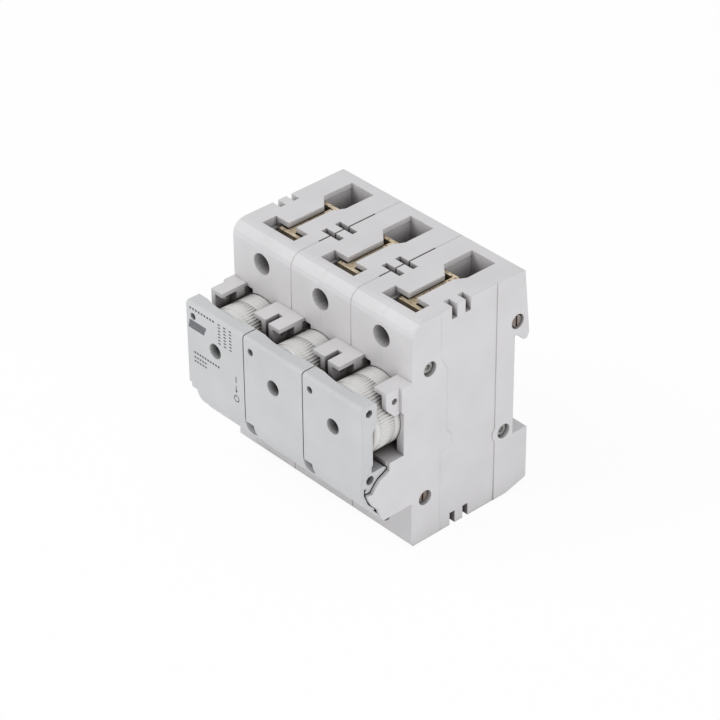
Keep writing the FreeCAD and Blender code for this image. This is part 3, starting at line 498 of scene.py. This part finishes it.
def plate_marks():
    """All the print on the left plate."""
    dark = printed_ink("dark_grey_ink", "#2E3033")
    grey = printed_ink("mid_grey_ink", "#77797C")

    sign_x, on_width, on_low, on_high = 22.9, 0.4, 41.4, 43.6
    arrow_top, arrow_neck, arrow_tip, arrow_width, arrow_line = 40.4, 38.6, 37.5, 1.2, 0.3
    off_z, off_radius, off_stroke = 35.4, 1.25, 0.35
    signs = [block(sign_x - on_width / 2, sign_x + on_width / 2, on_low, on_high),
             block(sign_x - arrow_line / 2, sign_x + arrow_line / 2, arrow_neck, arrow_top),
             [(sign_x - arrow_width / 2, arrow_neck), (sign_x, arrow_tip),
              (sign_x + arrow_width / 2, arrow_neck)]]
    signs += off_ring(sign_x, off_z, off_radius, off_stroke)
    print_on_plate("switch_signs", signs, dark)

    field_low, field_high = 51.5, 54.7
    field = [(0.7, field_low), (8.1, field_low), (9.4, field_high), (1.4, field_high)]
    print_on_plate("plain_field", [field], grey)

    small = dashes(left=1.6, top=59.4, rows=1, columns=9, across=1.35, width=0.75, stroke=0.75)
    small += dashes(left=15.0, top=59.3, rows=7, columns=3, across=2.6, width=1.1, stroke=0.45, down=1.15)
    small += dashes(left=3.0, top=43.4, rows=1, columns=10, across=1.25, width=0.8, stroke=0.7)
    small += dashes(left=3.0, top=41.6, rows=2, columns=5, across=1.25, width=0.8, stroke=0.6, down=1.5)
    print_on_plate("small_print", small, dark)


fuse_heads()
screw_threads()
latch_springs()
plate_marks()


# Floor, lights and camera

def stage_floor():
    """Wide white floor under the part, of matt paper that mostly shows the camera plain white."""
    reach, white_share = 3.0, 0.93
    mesh = bpy.data.meshes.new("floor")
    mesh.from_pydata([(-reach, -reach, 0), (reach, -reach, 0), (reach, reach, 0), (-reach, reach, 0)],
                     [], [(0, 1, 2, 3)])
    floor = bpy.data.objects.new("floor", mesh)
    bpy.context.collection.objects.link(floor)
    material, tree, place = new_material("matt_white_paper")
    fibre = patches(tree, place, size=1.5 * mm, contrast=0.3)
    paper = add(tree, "ShaderNodeBsdfPrincipled", {
        "Base Color": blend_colours(tree, fibre, "#FDFDFD", "#FAFAFA"), "Roughness": 0.9,
        "Specular IOR Level": 0.1})
    white = add(tree, "ShaderNodeEmission", {"Color": colour("#FFFFFF"), "Strength": 1.0})
    seen = add(tree, "ShaderNodeLightPath").outputs["Is Camera Ray"]
    share = add(tree, "ShaderNodeMath", {0: seen, 1: white_share}, operation="MULTIPLY")
    mixed = add(tree, "ShaderNodeMixShader", {0: share.outputs[0], 1: paper.outputs[0], 2: white.outputs[0]})
    add(tree, "ShaderNodeOutputMaterial", {"Surface": mixed.outputs[0]})
    mesh.materials.append(material)


def soft_light(name, place, size, power):
    """Square lamp that looks at the middle of the part."""
    lamp = bpy.data.lights.new(name, "AREA")
    lamp.shape = "SQUARE"
    lamp.size = size
    lamp.energy = power
    lamp_object = bpy.data.objects.new(name, lamp)
    target = Vector((0, 0, 40 * mm))
    lamp_object.location = place
    lamp_object.rotation_euler = (target - Vector(place)).to_track_quat("-Z", "Y").to_euler()
    bpy.context.collection.objects.link(lamp_object)


def studio_world():
    """Even pale surroundings, white where the camera, a reflection or glass sees them."""
    world = bpy.data.worlds.new("studio")
    world.use_nodes = True
    tree = world.node_tree
    tree.nodes.clear()
    fill = add(tree, "ShaderNodeBackground", {"Color": colour("#FAFBFF"), "Strength": 0.60})
    white = add(tree, "ShaderNodeBackground", {"Color": colour("#FFFFFF"), "Strength": 1.0})
    path = add(tree, "ShaderNodeLightPath").outputs
    direct = add(tree, "ShaderNodeMath", {0: path["Is Camera Ray"], 1: path["Is Glossy Ray"]},
                 operation="MAXIMUM")
    seen = add(tree, "ShaderNodeMath", {0: direct.outputs[0], 1: path["Is Transmission Ray"]},
               operation="MAXIMUM")
    both = add(tree, "ShaderNodeMixShader", {
        0: seen.outputs[0], 1: fill.outputs[0], 2: white.outputs[0]})
    add(tree, "ShaderNodeOutputWorld", {"Surface": both.outputs[0]})
    bpy.context.scene.world = world


def photo_camera():
    """Camera at the photo's place, worked out in millimetres: its angles, distance and focal length
    were fitted to the part's edges."""
    azimuth, elevation, roll = math.radians(47.81), math.radians(34.43), math.radians(0.47)
    distance, aim_right, aim_up = 920.4, 1.185, 2.21
    focal_pixels, image_width, sensor = 2969.8, 720, 36.0
    target = Vector((0.0, -0.5, 40.0))
    right = Vector((math.cos(azimuth), math.sin(azimuth), 0))
    back = Vector((math.sin(azimuth) * math.cos(elevation), -math.cos(azimuth) * math.cos(elevation),
                   math.sin(elevation)))
    up = back.cross(right)
    place = target + right * aim_right + up * aim_up + back * distance
    rolled_right = right * math.cos(roll) - up * math.sin(roll)
    rolled_up = right * math.sin(roll) + up * math.cos(roll)
    turn = Matrix((rolled_right, rolled_up, back)).transposed().to_4x4()
    lens = bpy.data.cameras.new("photo_camera")
    lens.sensor_width = sensor
    lens.lens = focal_pixels * sensor / image_width
    lens.clip_start = 0.05
    camera = bpy.data.objects.new("photo_camera", lens)
    camera.matrix_world = Matrix.Translation(place * mm) @ turn
    bpy.context.collection.objects.link(camera)
    bpy.context.scene.camera = camera


stage_floor()
studio_world()
soft_light("key", place=(-0.55, -0.75, 1.0), size=0.7, power=6.8)
soft_light("side", place=(1.1, -0.35, 0.55), size=0.8, power=5.4)
photo_camera()
bpy.context.scene.view_settings.view_transform = "Standard"
